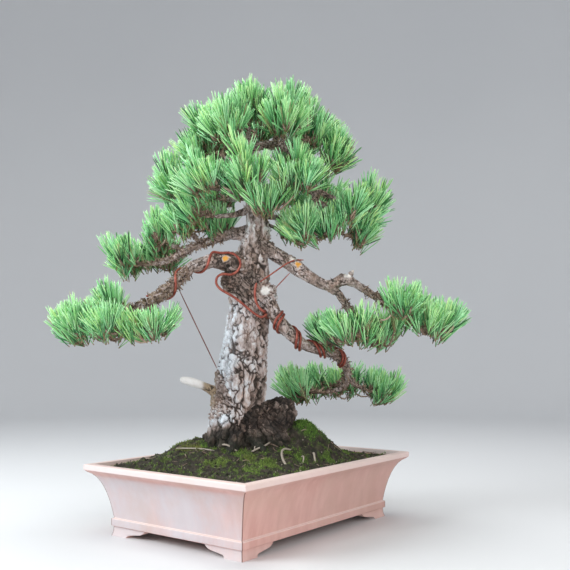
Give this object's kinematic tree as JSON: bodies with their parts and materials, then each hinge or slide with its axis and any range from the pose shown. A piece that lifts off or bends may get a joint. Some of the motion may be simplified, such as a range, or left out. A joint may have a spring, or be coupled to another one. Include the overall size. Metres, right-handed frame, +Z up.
{
  "type": "japanese black pine bonsai in a rectangular footed pot",
  "caption": "Informal upright black pine bonsai with wired branches and needle pads, standing in a flared rectangular clay pot on cloud feet.",
  "frame": {"origin": "middle of the whole plant's bounding box, on the surface that the pot's feet stand on", "axes": "+Z up; X along the pot's long sides; Y along its short sides; the picture looks along a horizontal direction 53 degrees from +Y towards +X, over the corner where the -X and -Y faces meet"},
  "size_m": [0.5746, 0.619, 0.7633],
  "materials": {
    "clay": "unglazed pale stoneware, matt, with a lighter worn lip",
    "soil": "dark granular soil with moss",
    "bark": "thick flaking grey-brown plates with dark cracks",
    "needles": "bright mid-green needles with a waxy sheen",
    "copper": "annealed red-brown copper wire",
    "screen": "dark moulded plastic mesh"
  },
  "bodies": {
    "root": {"pot": "clay", "drain_screen_left": "screen", "drain_screen_right": "screen", "soil": "soil", "wood": "bark", "wire_across": "copper", "wire_low": "copper", "guy_left": "copper", "guy_right": "copper", "guy_low": "copper", "spray_left_low": "needles", "spray_left_low_near": "needles", "spray_left_low_far": "needles", "spray_left_low_top": "needles", "spray_left_low_inner": "needles", "spray_left_mid": "needles", "spray_left_mid_top": "needles", "spray_left_mid_far": "needles", "spray_left_mid_inner": "needles", "spray_right": "needles", "spray_right_up_inner": "needles", "spray_right_up_far": "needles", "spray_right_down": "needles", "spray_right_down_out": "needles", "spray_right_down_near": "needles", "spray_low_right": "needles", "spray_low_right_out": "needles", "spray_low_right_far": "needles", "spray_crown_arch": "needles", "spray_crown_arch_inner": "needles", "spray_crown_arch_left": "needles", "spray_top_left": "needles", "spray_top_front": "needles", "spray_top_right": "needles", "spray_top_back": "needles", "spray_shoulder_right": "needles", "spray_shoulder_left": "needles", "spray_front_upper_left": "needles", "spray_front_upper_right": "needles", "spray_back_upper_left": "needles", "spray_back_upper_right": "needles", "spray_left_mid_crown": "needles", "spray_right_mid_crown": "needles", "spray_front_left": "needles", "spray_front": "needles", "spray_front_right": "needles", "spray_back_right": "needles", "spray_back": "needles", "spray_back_left": "needles", "spray_right_upper": "needles", "spray_left_under": "needles", "spray_right_under": "needles", "spray_front_under": "needles", "spray_back_under": "needles", "spray_small_left": "needles", "spray_small_right": "needles"}
  },
  "joints": []
}
